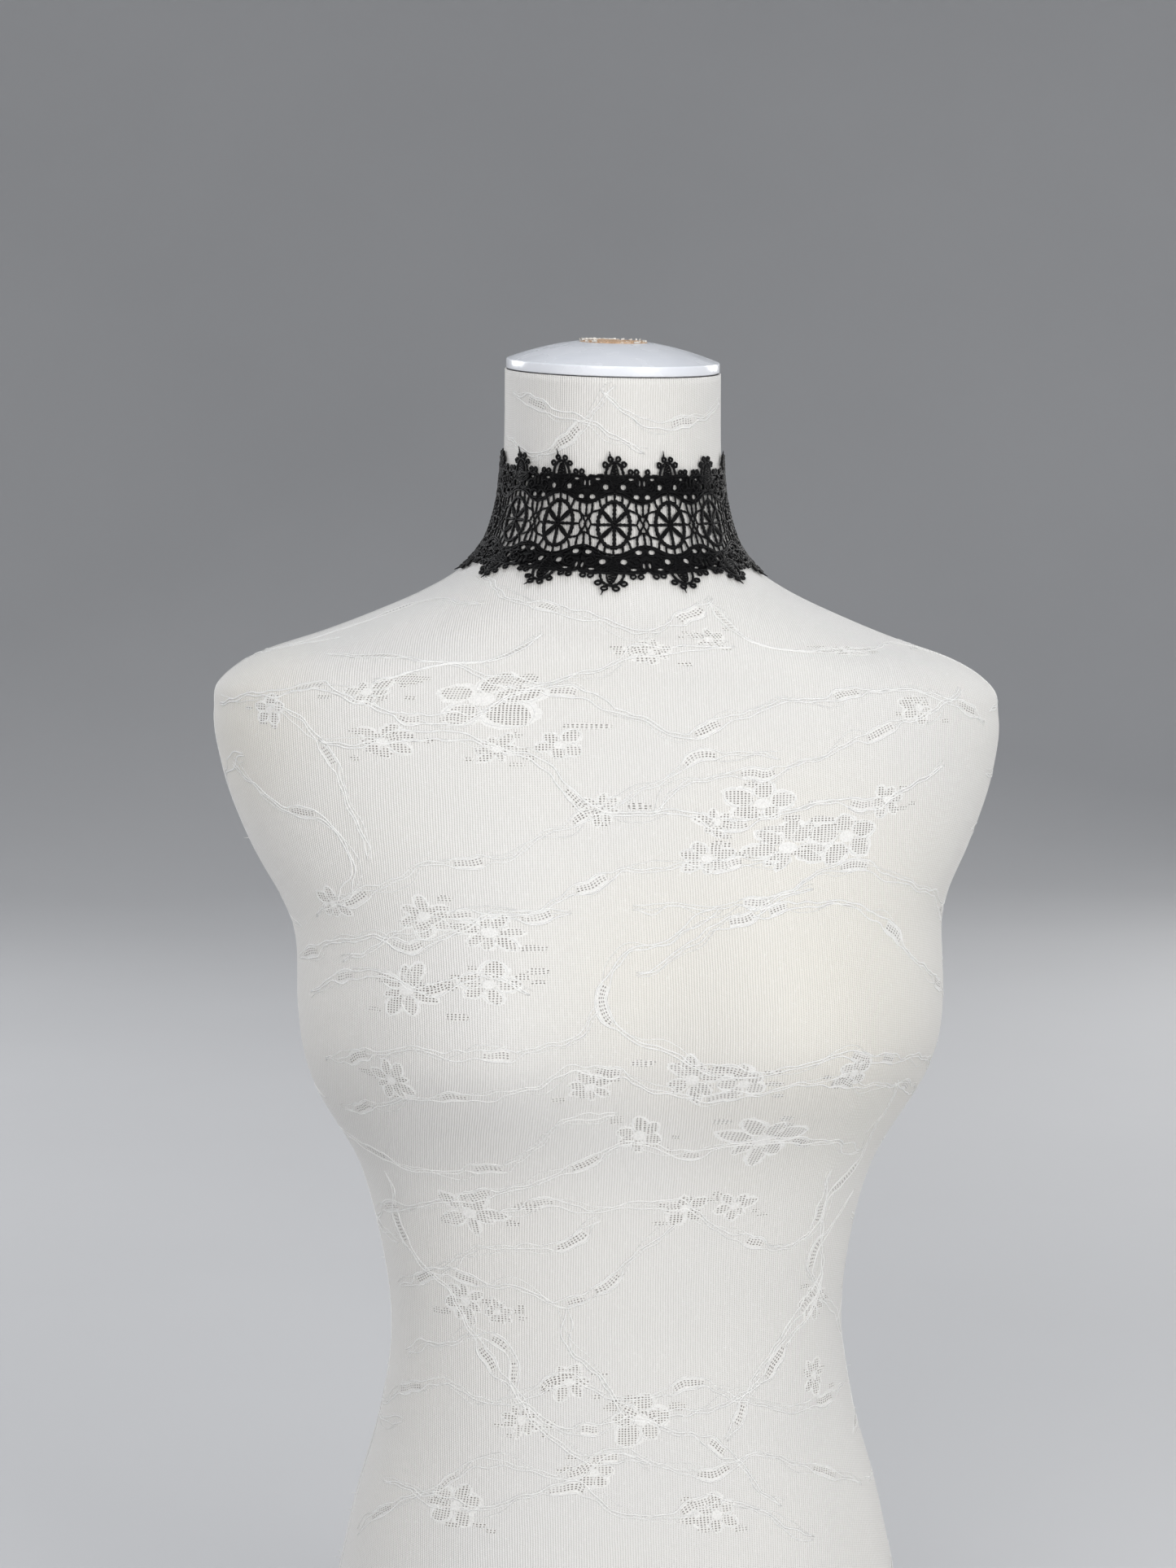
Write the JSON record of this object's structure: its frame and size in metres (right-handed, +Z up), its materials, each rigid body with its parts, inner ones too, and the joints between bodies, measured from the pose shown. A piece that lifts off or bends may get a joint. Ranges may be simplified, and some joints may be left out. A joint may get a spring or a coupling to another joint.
{
  "type": "lace choker on a dress form",
  "caption": "Black guipure lace choker of linked wheel motifs with pointed crowns on both edges, hooked at the nape, on the neck of a white limbless dress form that stands on a flat base.",
  "frame": {"origin": "middle of the dress form's flat underside", "axes": "+Z up the form, the front faces -Y, and the form's left shoulder is at +X"},
  "size_m": [0.3782, 0.2338, 0.712],
  "materials": {
    "lace": "black corded polyester guipure lace with a soft silky sheen",
    "tape": "black woven tape, matt",
    "wire": "black enamelled wire",
    "cover": "off-white stretch lace over a fine white knit, matt, slightly yellowed on the bust",
    "cap": "glossy bluish-white moulded plastic",
    "plug": "raw brown core with torn white flecks round it"
  },
  "bodies": {
    "root": {"lace_left": "lace", "lace_right": "lace", "tape_left": "tape", "tape_right": "tape", "hook_1": "wire", "hook_2": "wire", "hook_3": "wire", "eye_1": "wire", "eye_2": "wire", "eye_3": "wire", "form_torso": "cover", "neck_cap": "cap", "cap_plug": "plug"}
  },
  "joints": []
}
